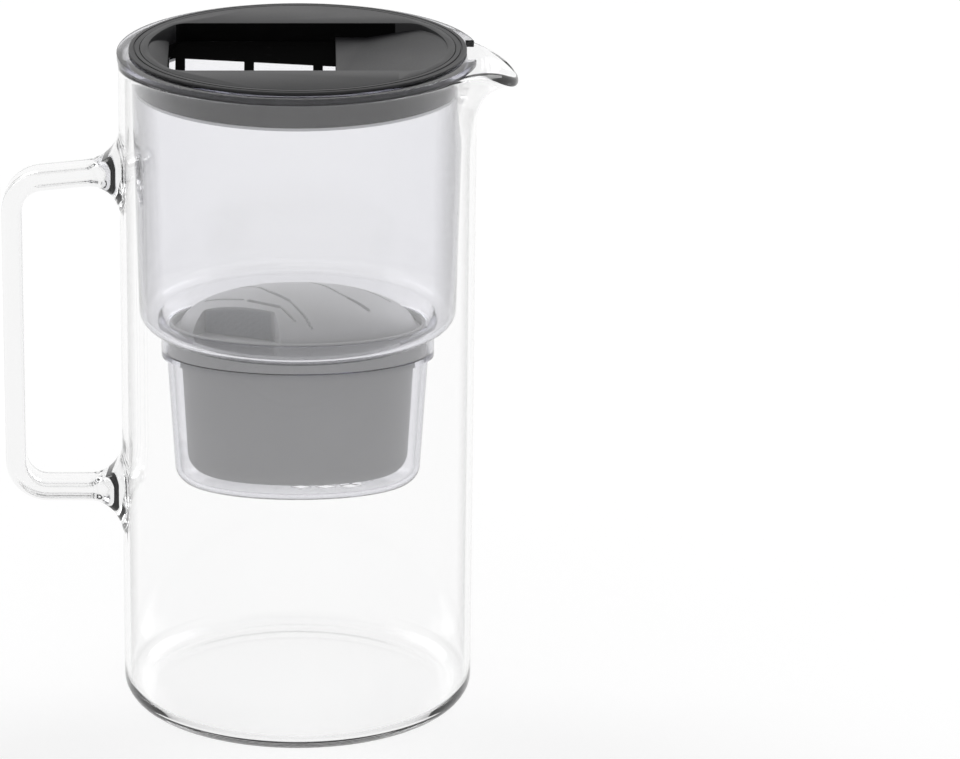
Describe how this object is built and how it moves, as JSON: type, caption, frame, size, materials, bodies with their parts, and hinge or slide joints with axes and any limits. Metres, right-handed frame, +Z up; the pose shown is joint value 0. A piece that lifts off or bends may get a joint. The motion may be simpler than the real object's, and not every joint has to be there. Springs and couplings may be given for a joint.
{
  "type": "water filter pitcher",
  "caption": "Clear glass jug with a bar handle and a pouring spout, a drop-in hopper that holds an oval filter cartridge, and a round black lid with a wide fill opening.",
  "frame": {"origin": "centre of the glass base, on the surface that it stands on", "axes": "+Z up along the jug's axis, +X towards the spout, -X towards the handle"},
  "size_m": [0.1984, 0.139, 0.2651],
  "materials": {
    "glass": "clear, polished",
    "tinted_plastic": "clear plastic with a faint grey tint",
    "black_plastic": "satin",
    "seal": "pale translucent",
    "filter_plastic": "fine matt",
    "mesh": "fine woven mesh",
    "felt": "needled felt",
    "carbon": "granular",
    "resin": "beads"
  },
  "bodies": {
    "carafe": {"carafe_glass": "glass", "carafe_handle": "glass"},
    "hopper": {"hopper": "tinted_plastic"},
    "cartridge": {"cartridge_cup": "filter_plastic", "cartridge_cap": "filter_plastic", "inlet_screen_front": "mesh", "inlet_screen_rear": "mesh", "outlet_screen": "mesh", "lower_felt": "felt", "resin_bed": "resin", "carbon_bed": "carbon", "upper_felt": "felt"},
    "lid": {"lid_frame": "black_plastic", "lid_cover": "black_plastic", "fill_chute": "black_plastic", "lid_seal": "seal"}
  },
  "joints": [
    {"name": "hopper_lift", "type": "slide", "parent": "carafe", "child": "hopper", "axis": [0, 0, 1], "range_m": [0, 0.18]},
    {"name": "cartridge_lift", "type": "slide", "parent": "hopper", "child": "cartridge", "axis": [0, 0, 1], "range_m": [0, 0.065]},
    {"name": "lid_lift", "type": "slide", "parent": "hopper", "child": "lid", "axis": [0, 0, 1], "range_m": [0, 0.08]}
  ]
}
